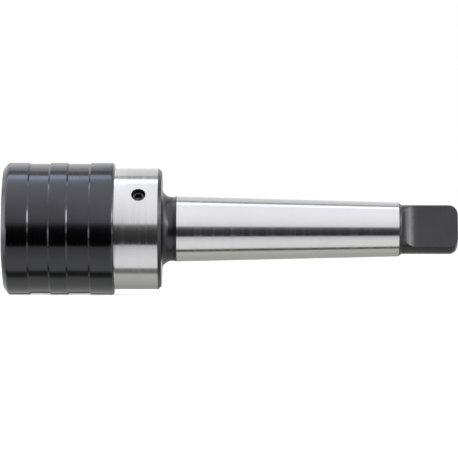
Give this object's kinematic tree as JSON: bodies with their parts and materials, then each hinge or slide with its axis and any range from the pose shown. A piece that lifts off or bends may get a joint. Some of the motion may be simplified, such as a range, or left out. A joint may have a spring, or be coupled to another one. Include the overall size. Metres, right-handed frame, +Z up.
{
  "type": "tapping head",
  "caption": "Quick-change tapping head: Morse taper shank, floating spindle with a ball-locked adapter bore, and a black sleeve that is pulled back to release it.",
  "frame": {"origin": "centre of the Morse taper's gauge plane, on the axis", "axes": "+X along the axis from the nose towards the tang, +Z up, and the view in the picture looks along +Y"},
  "size_m": [0.1254, 0.0364, 0.0364],
  "materials": {
    "ground_steel": "cylindrically ground, with the neck and tang left dark",
    "hardened_steel": "hardened and ground",
    "black_oxide": "black oxide on turned steel, satin",
    "spring_steel": "oil-tempered wire",
    "fastener_steel": "black-oxide fastener",
    "pad_brass": "turned",
    "seal_rubber": "moulded",
    "ball_steel": "polished bearing ball"
  },
  "bodies": {
    "shank": {"shank_body": "ground_steel", "drive_pin_1": "hardened_steel", "drive_pin_2": "hardened_steel", "drive_pin_3": "hardened_steel", "tie_bolt": "fastener_steel", "tie_washer": "hardened_steel", "tension_spring": "spring_steel", "compression_spring": "spring_steel", "spring_seat": "hardened_steel"},
    "spindle": {"spindle": "hardened_steel", "spindle_tail": "hardened_steel", "sleeve_circlip": "spring_steel", "sleeve_spring": "spring_steel", "spindle_seal_ring": "seal_rubber"},
    "sleeve_carrier": {"thrust_washer": "hardened_steel"},
    "sleeve": {"locking_sleeve": "black_oxide", "sleeve_wiper_ring": "seal_rubber"},
    "ball_1": {"locking_ball_1": "ball_steel"},
    "ball_2": {"locking_ball_2": "ball_steel"},
    "ball_3": {"locking_ball_3": "ball_steel"},
    "pad": {"brake_pad": "pad_brass"},
    "screw": {"adjusting_screw": "fastener_steel"}
  },
  "joints": [
    {"name": "float_slide", "type": "slide", "parent": "shank", "child": "spindle", "axis": [1, 0, 0], "range_m": [-0.004, 0.004], "stiffness_N_per_m": 8000, "deforming": ["tension_spring", "compression_spring"]},
    {"name": "sleeve_slide", "type": "slide", "parent": "spindle", "child": "sleeve_carrier", "axis": [1, 0, 0], "range_m": [0, 0.0035], "stiffness_N_per_m": 2500, "springref_m": -0.003, "deforming": ["sleeve_spring"]},
    {"name": "sleeve_spin", "type": "hinge", "parent": "sleeve_carrier", "child": "sleeve", "pos_m": [-0.0395, 0, 0], "axis": [1, 0, 0], "continuous": true},
    {"name": "ball_1_slide", "type": "slide", "parent": "spindle", "child": "ball_1", "axis": [0, 0, 1], "range_m": [0, 0.00119]},
    {"name": "ball_2_slide", "type": "slide", "parent": "spindle", "child": "ball_2", "axis": [0, 0.866, -0.5], "range_m": [0, 0.00119]},
    {"name": "ball_3_slide", "type": "slide", "parent": "spindle", "child": "ball_3", "axis": [0, -0.866, -0.5], "range_m": [0, 0.00119]},
    {"name": "pad_advance", "type": "slide", "parent": "shank", "child": "pad", "axis": [0, 0.829, -0.5592], "range_m": [-0.0008, 0.00028]},
    {"name": "screw_turn", "type": "hinge", "parent": "pad", "child": "screw", "pos_m": [-0.0152, 0, 0], "axis": [0, 0.829, -0.5592], "range_deg": [-411.5, 144.1]}
  ],
  "couplings": [
    {"joint": "ball_1_slide", "follows": "sleeve_slide", "ratio": 0.34},
    {"joint": "ball_2_slide", "follows": "sleeve_slide", "ratio": 0.34},
    {"joint": "ball_3_slide", "follows": "sleeve_slide", "ratio": 0.34},
    {"joint": "screw_turn", "follows": "pad_advance", "rad_per_m": 8976}
  ]
}
